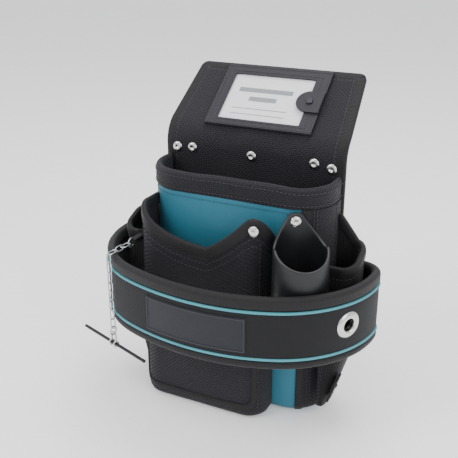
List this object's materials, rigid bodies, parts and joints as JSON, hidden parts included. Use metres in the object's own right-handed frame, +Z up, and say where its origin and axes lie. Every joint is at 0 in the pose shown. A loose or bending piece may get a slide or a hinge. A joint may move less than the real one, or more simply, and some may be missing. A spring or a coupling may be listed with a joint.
{
  "type": "tool pouch",
  "caption": "Sewn nylon tool pouch with leaning card flap, open pockets, moulded tool tube, padded front band with eyelet, and a tape bar on a chain.",
  "frame": {"origin": "on the ground under the front face of the back panel, in the middle of the pouch", "axes": "+Z up, -Y out of the front, +X to the right seen from the front"},
  "size_m": [0.2857, 0.1997, 0.3174],
  "materials": {
    "black_nylon": "coarse ballistic nylon weave",
    "black_tape": "ribbed webbing tape",
    "teal_nylon": "fine nylon weave",
    "teal_piping": "smooth corded piping",
    "lining_cloth": "coated lining",
    "stiff_board": "polyethylene sheet",
    "black_vinyl": "grained vinyl",
    "clear_vinyl": "clear vinyl sheet",
    "card": "matt card",
    "moulded_rubber": "smooth moulded",
    "nickel": "nickel plate",
    "chain_steel": "zinc plated wire",
    "dark_stud": "black oxide",
    "black_steel": "black coated rod"
  },
  "bodies": {
    "pouch": {"back_binding": "black_tape", "back_board": "stiff_board", "back_cover": "black_nylon", "back_panel": "black_nylon", "back_rivets": "nickel", "badge_patch": "black_vinyl", "band_bottom_binding": "black_tape", "band_bottom_piping": "teal_piping", "band_top_binding": "black_tape", "band_top_piping": "teal_piping", "base_board": "stiff_board", "belt_tunnel": "black_tape", "chain_anchor_ring": "chain_steel", "chain_anchor_tab": "black_tape", "chain_fixed_links": "chain_steel", "ear_rivet": "nickel", "eyelet_back": "nickel", "eyelet_front": "nickel", "front_band": "black_nylon", "front_pocket": "black_nylon", "front_pocket_lip": "black_tape", "main_pocket_front": "teal_nylon", "main_pocket_lining": "lining_cloth", "mouth_hem": "black_tape", "side_gusset_left": "black_nylon", "side_gusset_right": "black_nylon", "side_pocket_left": "black_nylon", "side_pocket_left_binding": "black_tape", "side_pocket_right": "black_nylon", "side_pocket_right_binding": "black_tape", "side_tab": "black_tape", "side_tab_rivet": "nickel", "tool_tube": "moulded_rubber", "tube_rivet": "nickel"},
    "flap": {"flap_cover": "black_nylon", "flap_board": "stiff_board", "flap_lining": "black_nylon", "flap_binding": "black_tape", "id_frame": "black_vinyl", "id_window": "clear_vinyl", "id_stud_socket": "dark_stud"},
    "card": {"id_card": "card"},
    "card_tab": {"id_tab": "black_vinyl", "id_stud_cap": "dark_stud"},
    "chain_upper": {"chain_upper_links": "chain_steel"},
    "chain_lower": {"chain_lower_links": "chain_steel", "jump_ring": "nickel"},
    "bar": {"bar_clevis": "nickel", "tape_bar": "black_steel"}
  },
  "joints": [
    {"name": "flap_fold", "type": "hinge", "parent": "pouch", "child": "flap", "pos_m": [0, 0.003, 0.26], "axis": [1, 0, 0], "range_deg": [-15, 52]},
    {"name": "card_slide", "type": "slide", "parent": "flap", "child": "card", "axis": [1, 0, 0], "range_m": [0, 0.095]},
    {"name": "tab_snap", "type": "hinge", "parent": "flap", "child": "card_tab", "pos_m": [0.057, 0.03382, 0.29283], "axis": [0, 0.788, 0.6157], "range_deg": [0, 150]},
    {"name": "chain_sway", "type": "hinge", "parent": "pouch", "child": "chain_upper", "pos_m": [-0.101, -0.1015, 0.15085], "axis": [0.1045, 0.9945, 0], "range_deg": [0, 30]},
    {"name": "chain_swing", "type": "hinge", "parent": "chain_upper", "child": "chain_lower", "pos_m": [-0.101, -0.1015, 0.12115], "axis": [0.9945, -0.1045, 0], "range_deg": [-35, 0]},
    {"name": "bar_tilt", "type": "hinge", "parent": "chain_lower", "child": "bar", "pos_m": [-0.101, -0.1015, 0.0749], "axis": [0.1045, 0.9945, 0], "range_deg": [-22, 22]}
  ]
}
